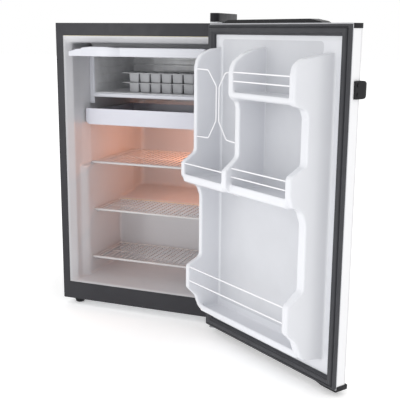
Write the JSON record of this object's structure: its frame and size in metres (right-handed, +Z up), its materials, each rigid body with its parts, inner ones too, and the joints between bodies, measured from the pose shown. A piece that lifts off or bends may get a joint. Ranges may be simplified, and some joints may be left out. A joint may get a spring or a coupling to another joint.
{
  "type": "mini fridge",
  "caption": "Compact refrigerator with its door open: wire shelves, freezer box with flap and ice trays, drip tray, and a fitted door with can column and bottle bins.",
  "frame": {"origin": "on the floor, midway between the four feet", "axes": "+Z up; -Y is the way the open front faces; +X to the right seen from the front, towards the hinges"},
  "size_m": [0.9086, 0.8657, 0.845],
  "materials": {
    "charcoal_paint": "satin charcoal",
    "white_paint": "satin white",
    "white_liner": "vacuum-formed, soft gloss",
    "clear_white": "milky",
    "galvanised": "galvanised",
    "evaporator": "satin",
    "foam": "rigid foam",
    "coated_wire": "white coated",
    "gasket": "soft matt",
    "black_plastic": "fine grain",
    "black_metal": "semi-gloss black",
    "copper": "drawn tube",
    "lens": "frosted",
    "bulb": "frosted",
    "zinc": "zinc plated",
    "rubber": "matt",
    "nylon": "matt"
  },
  "bodies": {
    "cabinet": {"cabinet_shell": "charcoal_paint", "front_frame": "charcoal_paint", "back_panel": "galvanised", "base_pan": "galvanised", "cabinet_foam": "foam", "cabinet_liner": "white_liner", "compressor_bay_wall": "galvanised", "freezer_box": "evaporator", "freezer_hangers": "galvanised", "freezer_frame": "white_liner", "drip_tray_guides": "white_liner", "thermostat_housing": "white_liner", "lamp_lens": "lens", "lamp_bulb": "bulb", "lamp_holder": "nylon", "switch_housing": "white_liner", "rear_feet": "black_plastic", "foot_nuts": "zinc", "hinge_top_bracket": "galvanised", "hinge_top_pin": "zinc", "hinge_top_cover": "black_plastic", "hinge_top_screws": "zinc", "hinge_bottom_bracket": "galvanised", "hinge_bottom_pin": "zinc", "hinge_bottom_screws": "zinc", "compressor": "black_metal", "compressor_mounts": "rubber", "compressor_relay": "black_plastic", "evaporation_pan": "black_plastic", "condenser": "black_metal", "condenser_brackets": "galvanised", "refrigerant_pipes": "copper", "mains_gland": "black_plastic"},
    "door": {"door_skin": "white_paint", "door_foam": "foam", "door_liner": "white_liner", "door_gasket": "gasket", "door_cap_top": "black_plastic", "door_cap_bottom": "black_plastic", "door_bushings": "nylon", "can_wires": "coated_wire", "can_tray_rail": "coated_wire", "upper_bin_rails": "coated_wire", "bottle_bin_rails": "coated_wire", "lower_bin_rails": "coated_wire", "door_handle": "black_plastic", "handle_screws": "zinc"},
    "flap": {"freezer_flap": "white_liner", "flap_pins": "zinc"},
    "shelf_top": {"shelf_top": "coated_wire"},
    "shelf_middle": {"shelf_middle": "coated_wire"},
    "shelf_bottom": {"shelf_bottom": "coated_wire"},
    "drip_tray": {"drip_tray": "white_liner"},
    "ice_tray_lower": {"ice_tray_lower": "clear_white"},
    "ice_tray_upper": {"ice_tray_upper": "clear_white"},
    "thermostat_knob": {"thermostat_knob": "nylon"},
    "switch_plunger": {"switch_plunger": "nylon"},
    "foot_front_left": {"foot_front_left": "black_plastic"},
    "foot_front_right": {"foot_front_right": "black_plastic"}
  },
  "joints": [
    {"name": "door_hinge", "type": "hinge", "parent": "cabinet", "child": "door", "pos_m": [0.238, -0.272, 0.42], "axis": [0, 0, 1], "range_deg": [-146.2, 0]},
    {"name": "flap_hinge", "type": "hinge", "parent": "cabinet", "child": "flap", "pos_m": [0, -0.148, 0.738], "axis": [1, 0, 0], "range_deg": [-0.5, 90.5]},
    {"name": "shelf_top_slide", "type": "slide", "parent": "cabinet", "child": "shelf_top", "axis": [0, -1, 0], "range_m": [0, 0.26]},
    {"name": "shelf_middle_slide", "type": "slide", "parent": "cabinet", "child": "shelf_middle", "axis": [0, -1, 0], "range_m": [0, 0.15]},
    {"name": "shelf_bottom_slide", "type": "slide", "parent": "cabinet", "child": "shelf_bottom", "axis": [0, -1, 0], "range_m": [0, 0.15]},
    {"name": "drip_tray_slide", "type": "slide", "parent": "cabinet", "child": "drip_tray", "axis": [0, -1, 0], "range_m": [0, 0.25]},
    {"name": "ice_tray_lower_slide", "type": "slide", "parent": "cabinet", "child": "ice_tray_lower", "axis": [0, -1, 0], "range_m": [0, 0.22]},
    {"name": "ice_tray_upper_slide", "type": "slide", "parent": "cabinet", "child": "ice_tray_upper", "axis": [0, -1, 0], "range_m": [0, 0.22]},
    {"name": "thermostat_turn", "type": "hinge", "parent": "cabinet", "child": "thermostat_knob", "pos_m": [0.173, -0.073, 0.4975], "axis": [1, 0, 0], "range_deg": [-150, 150]},
    {"name": "switch_press", "type": "slide", "parent": "cabinet", "child": "switch_plunger", "axis": [0, 1, 0], "range_m": [0, 0.008], "stiffness_N_per_m": 150, "springref_m": -0.002},
    {"name": "foot_left_turn", "type": "hinge", "parent": "cabinet", "child": "foot_front_left", "pos_m": [-0.214, -0.209, 0.01], "axis": [0, 0, 1], "continuous": true},
    {"name": "foot_right_turn", "type": "hinge", "parent": "cabinet", "child": "foot_front_right", "pos_m": [0.214, -0.209, 0.01], "axis": [0, 0, 1], "continuous": true}
  ],
  "couplings": [
    {"joint": "flap_hinge", "follows": "door_hinge", "ratio": -0.6156}
  ]
}
